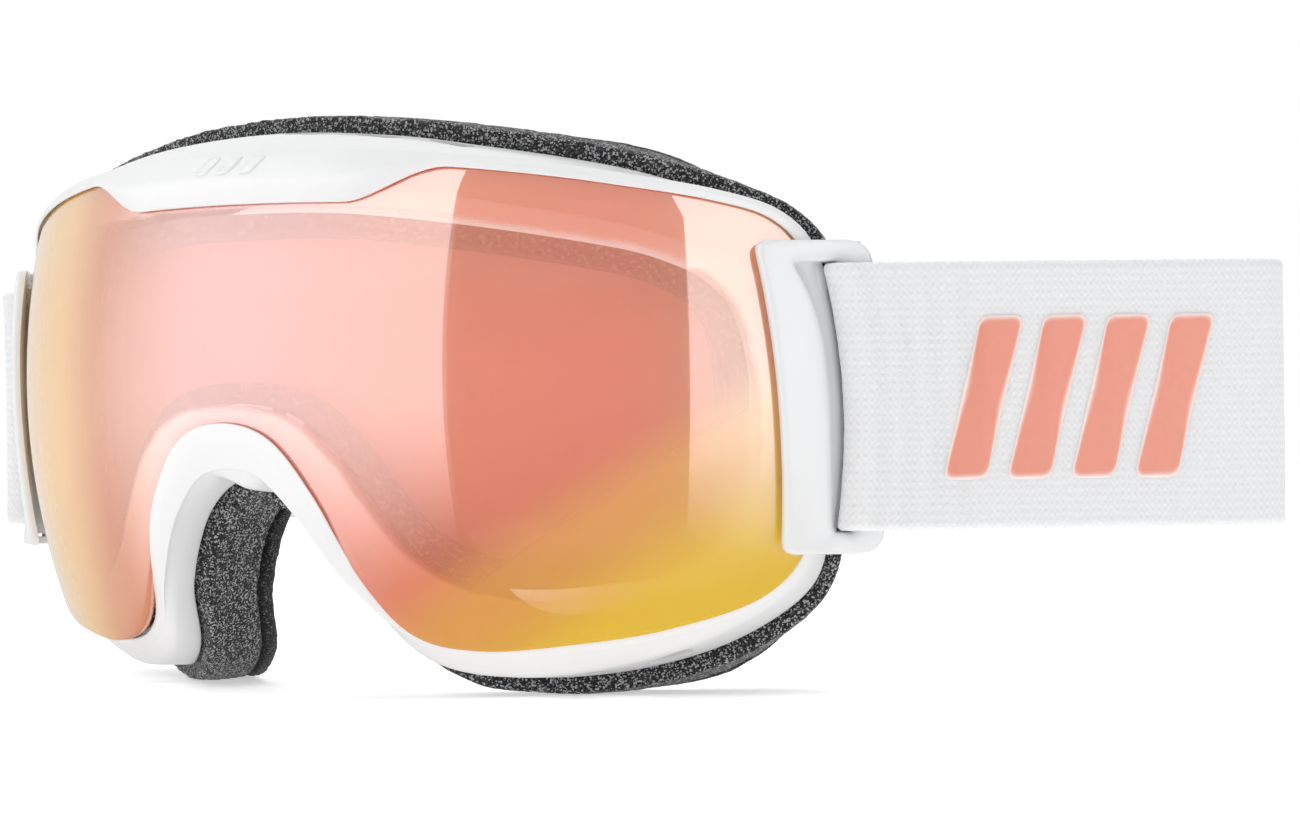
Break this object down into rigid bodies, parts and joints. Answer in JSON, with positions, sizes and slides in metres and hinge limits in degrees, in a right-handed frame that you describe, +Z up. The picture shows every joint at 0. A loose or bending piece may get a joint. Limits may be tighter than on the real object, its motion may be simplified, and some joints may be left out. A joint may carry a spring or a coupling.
{
  "type": "ski goggles",
  "caption": "Ski goggles with a mirrored spherical double lens, vented frame, face foam, hinged strap brackets and an elastic strap with sliding adjusters.",
  "frame": {"origin": "bottom centre of the whole object's box", "axes": "+X towards the wearer's left, -Y the way the lens looks, +Z up"},
  "size_m": [0.257, 0.098, 0.0903],
  "materials": {
    "frame_white": "satin",
    "outrigger_white": "satin",
    "lens_mirror": "mirror-coated",
    "lens_clear": "clear",
    "gasket": "matt foam",
    "vent_foam": "open-cell foam",
    "face_foam": "speckled foam",
    "lining": "fleece",
    "elastic": "knitted elastic",
    "slider_white": "moulded",
    "pin_steel": "drawn"
  },
  "bodies": {
    "root": {"main_frame": "frame_white", "outer_lens": "lens_mirror", "inner_lens": "lens_clear", "lens_spacer": "gasket", "lens_seal": "gasket", "top_vent_foam": "vent_foam", "lower_vent_foam_left": "vent_foam", "lower_vent_foam_right": "vent_foam", "face_foam": "face_foam", "face_lining": "lining", "hinge_pin_upper_left": "pin_steel", "hinge_pin_lower_left": "pin_steel", "hinge_pin_upper_right": "pin_steel", "hinge_pin_lower_right": "pin_steel", "strap_left": "elastic", "strap_right": "elastic"},
    "outrigger_left": {"outrigger_left": "outrigger_white", "strap_left_wrap": "elastic"},
    "outrigger_right": {"outrigger_right": "outrigger_white", "strap_right_wrap": "elastic"},
    "slider_left": {"strap_slider_left": "slider_white", "strap_right_sewn_end": "elastic"},
    "slider_right": {"strap_slider_right": "slider_white", "strap_left_sewn_end": "elastic"}
  },
  "joints": [
    {"name": "outrigger_left_hinge", "type": "hinge", "parent": "root", "child": "outrigger_left", "pos_m": [0.07632, -0.00172, 0.05003], "axis": [0, 0, 1], "range_deg": [0, 12]},
    {"name": "outrigger_right_hinge", "type": "hinge", "parent": "root", "child": "outrigger_right", "pos_m": [-0.09297, -0.00172, 0.05003], "axis": [0, 0, -1], "range_deg": [0, 12]},
    {"name": "slider_left_slide", "type": "slide", "parent": "root", "child": "slider_left", "axis": [1, 0, 0], "range_m": [0, 0.05]},
    {"name": "slider_right_slide", "type": "slide", "parent": "root", "child": "slider_right", "axis": [-1, 0, 0], "range_m": [0, 0.05]}
  ]
}
